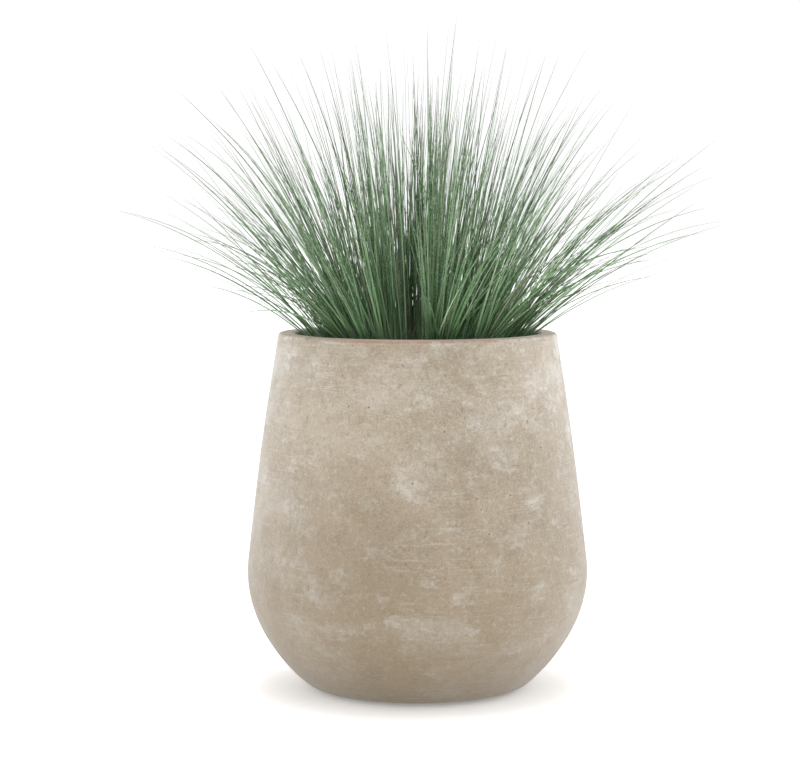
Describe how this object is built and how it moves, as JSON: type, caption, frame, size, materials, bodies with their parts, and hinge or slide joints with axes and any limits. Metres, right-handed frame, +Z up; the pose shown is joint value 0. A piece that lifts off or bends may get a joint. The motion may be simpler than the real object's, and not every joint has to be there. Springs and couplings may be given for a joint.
{
  "type": "planted pot",
  "caption": "Round thick-walled clay planter that swells to a belly, with a lift-out liner of fine ornamental grass, a granule bed and a plugged drain.",
  "frame": {"origin": "on the ground under the middle of the round pot, at the underside of its pads", "axes": "+Z up along the pot's axis; +X to the right and +Y to the back as it is seen from the front"},
  "size_m": [0.8656, 0.8436, 0.921],
  "materials": {
    "clay": "matte",
    "pad_rubber": "matte",
    "plug_rubber": "satin",
    "screen_plastic": "matte",
    "clay_granules": "matte",
    "liner_plastic": "satin",
    "fleece": "matte",
    "potting_soil": "matte",
    "root_mat": "matte",
    "grass": "satin"
  },
  "bodies": {
    "pot": {"pot_shell": "clay", "foot_pad_1": "pad_rubber", "foot_pad_2": "pad_rubber", "foot_pad_3": "pad_rubber", "foot_pad_4": "pad_rubber", "drain_screen": "screen_plastic", "drainage_fill": "clay_granules"},
    "plug": {"drain_plug": "plug_rubber"},
    "insert": {"liner": "liner_plastic", "fleece_disc": "fleece", "soil": "potting_soil", "root_ball_1": "root_mat", "root_ball_2": "root_mat", "root_ball_3": "root_mat", "root_ball_4": "root_mat", "root_ball_5": "root_mat", "root_ball_6": "root_mat", "root_ball_7": "root_mat", "grass_tuft_1": "grass", "grass_tuft_2": "grass", "grass_tuft_3": "grass", "grass_tuft_4": "grass", "grass_tuft_5": "grass", "grass_tuft_6": "grass", "grass_tuft_7": "grass"}
  },
  "joints": [
    {"name": "insert_lift", "type": "slide", "parent": "pot", "child": "insert", "axis": [0, 0, 1], "range_m": [0, 0.36]},
    {"name": "drain_plug_pull", "type": "slide", "parent": "pot", "child": "plug", "axis": [0, 0, -1], "range_m": [0, 0.035]}
  ]
}
